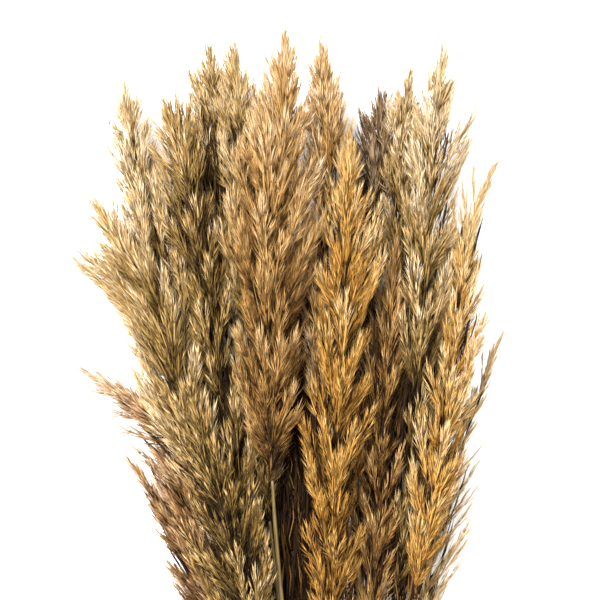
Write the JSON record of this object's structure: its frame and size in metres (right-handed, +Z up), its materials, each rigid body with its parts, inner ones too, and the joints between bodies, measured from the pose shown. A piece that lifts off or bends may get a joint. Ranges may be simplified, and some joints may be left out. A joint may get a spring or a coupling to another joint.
{
  "type": "reed bunch",
  "caption": "Loose bunch of dried common reeds lying flat: thin cut culms gathered at one end and fanning out into full, feathery, straw-coloured plumes.",
  "frame": {"origin": "middle of the bunch's bounding box, on the surface that it lies on", "axes": "+Y along the bunch from the cut ends to the plume tips, +X across it to the right as the picture shows it, +Z up from the surface"},
  "size_m": [0.3274, 0.7842, 0.1141],
  "materials": {
    "culm_straw": "satin",
    "plume_cream": "matte",
    "plume_tan": "matte",
    "plume_gold": "matte",
    "plume_grey": "matte",
    "plume_pink": "matte"
  },
  "bodies": {
    "root": {"stem_01": "culm_straw", "plume_01": "plume_tan", "stem_02": "culm_straw", "plume_02": "plume_gold", "stem_03": "culm_straw", "plume_03": "plume_tan", "stem_04": "culm_straw", "plume_04": "plume_cream", "stem_05": "culm_straw", "plume_05": "plume_gold", "stem_06": "culm_straw", "plume_06": "plume_grey", "stem_07": "culm_straw", "plume_07": "plume_cream", "stem_08": "culm_straw", "plume_08": "plume_tan", "stem_09": "culm_straw", "plume_09": "plume_cream", "stem_10": "culm_straw", "plume_10": "plume_cream", "stem_11": "culm_straw", "plume_11": "plume_pink", "stem_12": "culm_straw", "plume_12": "plume_pink", "stem_13": "culm_straw", "plume_13": "plume_gold", "stem_14": "culm_straw", "plume_14": "plume_cream", "stem_15": "culm_straw", "plume_15": "plume_cream", "stem_16": "culm_straw", "plume_16": "plume_cream", "stem_17": "culm_straw", "plume_17": "plume_cream", "stem_18": "culm_straw", "plume_18": "plume_grey", "stem_19": "culm_straw", "plume_19": "plume_tan", "stem_20": "culm_straw", "plume_20": "plume_pink", "stem_21": "culm_straw", "plume_21": "plume_gold", "stem_22": "culm_straw", "plume_22": "plume_cream"}
  },
  "joints": []
}
